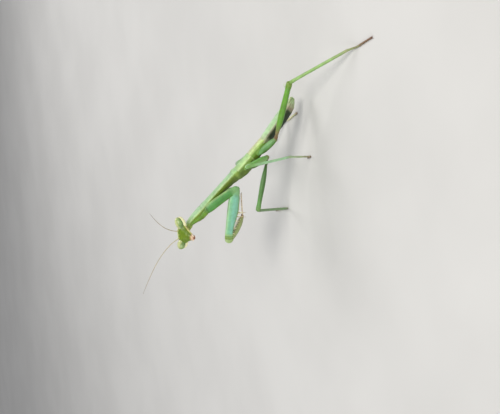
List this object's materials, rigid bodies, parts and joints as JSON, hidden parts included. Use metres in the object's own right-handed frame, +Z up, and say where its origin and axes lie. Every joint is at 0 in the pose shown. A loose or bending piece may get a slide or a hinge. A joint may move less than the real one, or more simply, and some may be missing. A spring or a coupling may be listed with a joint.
{
  "type": "praying mantis",
  "caption": "Slender green wingless praying mantis nymph standing on its long walking legs, grasping forelegs folded, triangular head turned to its left.",
  "frame": {"origin": "on the floor under the centre of the bounding box", "axes": "+X towards the animal's head end, +Y towards its left, +Z up from the floor it stands on"},
  "size_m": [0.0489, 0.0315, 0.0324],
  "materials": {
    "thorax": "satin pale green shell, olive green below a pale yellow edge",
    "abdomen": "satin pale green plates, darker green below",
    "head": "satin yellow green with fine bumps and pale rims",
    "mouth": "satin pinkish cream with orange brown tips",
    "eye": "smooth glossy pale green",
    "antenna": "dull straw brown",
    "foreleg": "satin leaf green to blue green, lighter along the edges",
    "leg": "satin leaf green, brownish at the joints",
    "tarsus": "satin straw turning to red brown at the tip"
  },
  "bodies": {
    "root": {"neck": "thorax", "pronotum": "thorax", "mesothorax": "thorax", "metathorax": "thorax", "abdomen": "abdomen", "head": "head", "mouthparts": "mouth", "eye_left": "eye", "eye_right": "eye", "antenna_left": "antenna", "antenna_right": "antenna", "cercus_left": "antenna", "cercus_right": "antenna", "fore_coxa_left": "foreleg", "fore_coxa_right": "foreleg", "fore_femur_left": "foreleg", "fore_femur_right": "foreleg", "fore_tibia_left": "foreleg", "fore_tibia_right": "foreleg", "coxa_mid_left": "leg", "coxa_mid_right": "leg", "coxa_hind_left": "leg", "coxa_hind_right": "leg", "femur_mid_left": "leg", "femur_mid_right": "leg", "femur_hind_left": "leg", "femur_hind_right": "leg", "tibia_mid_left": "leg", "tibia_mid_right": "leg", "tibia_hind_left": "leg", "tibia_hind_right": "leg", "tarsus_mid_left": "tarsus", "tarsus_mid_right": "tarsus", "tarsus_hind_left": "tarsus", "tarsus_hind_right": "tarsus", "fore_tarsus_left": "tarsus", "fore_tarsus_right": "tarsus"}
  },
  "joints": []
}
